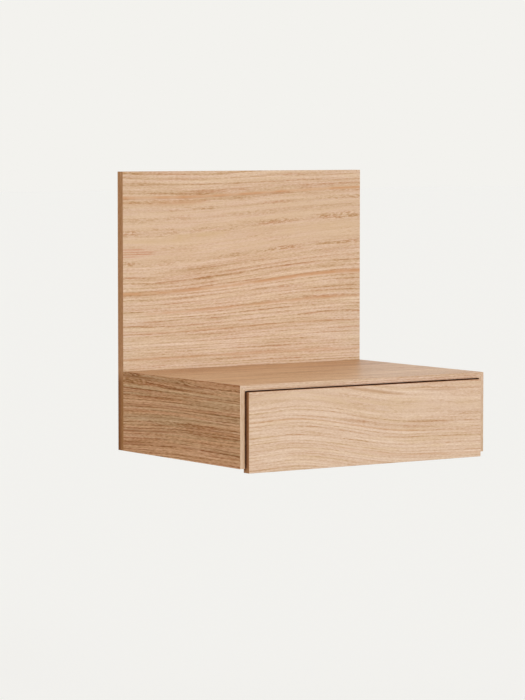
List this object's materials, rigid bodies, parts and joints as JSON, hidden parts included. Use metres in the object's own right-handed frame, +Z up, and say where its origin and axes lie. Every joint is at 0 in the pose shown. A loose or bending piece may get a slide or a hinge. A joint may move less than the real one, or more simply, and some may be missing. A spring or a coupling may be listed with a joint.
{
  "type": "floating nightstand",
  "caption": "Wall-hung nightstand: a tall wall panel carries a shallow box whose full-extension drawer is pulled by the lower edge of its front.",
  "frame": {"origin": "centre of the wall panel's rear face, which lies on the wall", "axes": "+Z up, -Y out of the wall towards the drawer's front, +X to the right seen from the front"},
  "size_m": [0.42, 0.32, 0.406],
  "materials": {
    "oak_veneer": "satin light oak veneer, grain along the width",
    "birch_ply": "clear-lacquered pale birch plywood",
    "beech_dowel": "raw fluted beech",
    "zinc_screw": "bright zinc plate",
    "hanger_steel": "zinc-plated pressed steel",
    "runner_steel": "zinc-plated rolled steel",
    "ball_steel": "polished balls in a plated steel strip",
    "lever_plastic": "matt black moulded plastic"
  },
  "bodies": {
    "cabinet": {"wall_panel": "oak_veneer", "top_panel": "oak_veneer", "left_side_panel": "oak_veneer", "right_side_panel": "oak_veneer", "bottom_panel": "oak_veneer", "left_bottom_dowel_1": "beech_dowel", "left_bottom_dowel_2": "beech_dowel", "right_bottom_dowel_1": "beech_dowel", "right_bottom_dowel_2": "beech_dowel", "left_side_screw_1": "zinc_screw", "left_side_screw_2": "zinc_screw", "right_side_screw_1": "zinc_screw", "right_side_screw_2": "zinc_screw", "top_screw_1": "zinc_screw", "top_screw_2": "zinc_screw", "top_screw_3": "zinc_screw", "bottom_screw_1": "zinc_screw", "bottom_screw_2": "zinc_screw", "left_hanger_plate": "hanger_steel", "right_hanger_plate": "hanger_steel", "left_hanger_screw_1": "zinc_screw", "left_hanger_screw_2": "zinc_screw", "right_hanger_screw_1": "zinc_screw", "right_hanger_screw_2": "zinc_screw", "left_runner_cabinet_member": "runner_steel", "right_runner_cabinet_member": "runner_steel", "left_cabinet_member_screw_1": "zinc_screw", "left_cabinet_member_screw_2": "zinc_screw", "right_cabinet_member_screw_1": "zinc_screw", "right_cabinet_member_screw_2": "zinc_screw"},
    "left_middle": {"left_runner_middle_member": "runner_steel"},
    "right_middle": {"right_runner_middle_member": "runner_steel"},
    "left_outer_balls": {"left_runner_outer_cage": "ball_steel"},
    "right_outer_balls": {"right_runner_outer_cage": "ball_steel"},
    "left_inner_balls": {"left_runner_inner_cage": "ball_steel"},
    "right_inner_balls": {"right_runner_inner_cage": "ball_steel"},
    "drawer": {"drawer_front": "oak_veneer", "drawer_inner_front": "birch_ply", "drawer_left_side": "birch_ply", "drawer_right_side": "birch_ply", "drawer_back": "birch_ply", "drawer_bottom": "birch_ply", "left_runner_drawer_member": "runner_steel", "right_runner_drawer_member": "runner_steel", "left_runner_release_lever": "lever_plastic", "right_runner_release_lever": "lever_plastic", "left_drawer_member_screw_1": "zinc_screw", "left_drawer_member_screw_2": "zinc_screw", "right_drawer_member_screw_1": "zinc_screw", "right_drawer_member_screw_2": "zinc_screw", "front_screw_1": "zinc_screw", "front_screw_2": "zinc_screw", "front_screw_3": "zinc_screw", "front_screw_4": "zinc_screw"}
  },
  "joints": [
    {"name": "drawer_slide", "type": "slide", "parent": "cabinet", "child": "drawer", "axis": [0, -1, 0], "range_m": [0, 0.25]},
    {"name": "left_middle_slide", "type": "slide", "parent": "cabinet", "child": "left_middle", "axis": [0, -1, 0], "range_m": [0, 0.125]},
    {"name": "right_middle_slide", "type": "slide", "parent": "cabinet", "child": "right_middle", "axis": [0, -1, 0], "range_m": [0, 0.125]},
    {"name": "left_outer_balls_roll", "type": "slide", "parent": "cabinet", "child": "left_outer_balls", "axis": [0, -1, 0], "range_m": [0, 0.0625]},
    {"name": "right_outer_balls_roll", "type": "slide", "parent": "cabinet", "child": "right_outer_balls", "axis": [0, -1, 0], "range_m": [0, 0.0625]},
    {"name": "left_inner_balls_roll", "type": "slide", "parent": "left_middle", "child": "left_inner_balls", "axis": [0, -1, 0], "range_m": [0, 0.0625]},
    {"name": "right_inner_balls_roll", "type": "slide", "parent": "right_middle", "child": "right_inner_balls", "axis": [0, -1, 0], "range_m": [0, 0.0625]}
  ],
  "couplings": [
    {"joint": "left_middle_slide", "follows": "drawer_slide", "ratio": 0.5},
    {"joint": "right_middle_slide", "follows": "drawer_slide", "ratio": 0.5},
    {"joint": "left_outer_balls_roll", "follows": "drawer_slide", "ratio": 0.25},
    {"joint": "right_outer_balls_roll", "follows": "drawer_slide", "ratio": 0.25},
    {"joint": "left_inner_balls_roll", "follows": "drawer_slide", "ratio": 0.25},
    {"joint": "right_inner_balls_roll", "follows": "drawer_slide", "ratio": 0.25}
  ]
}
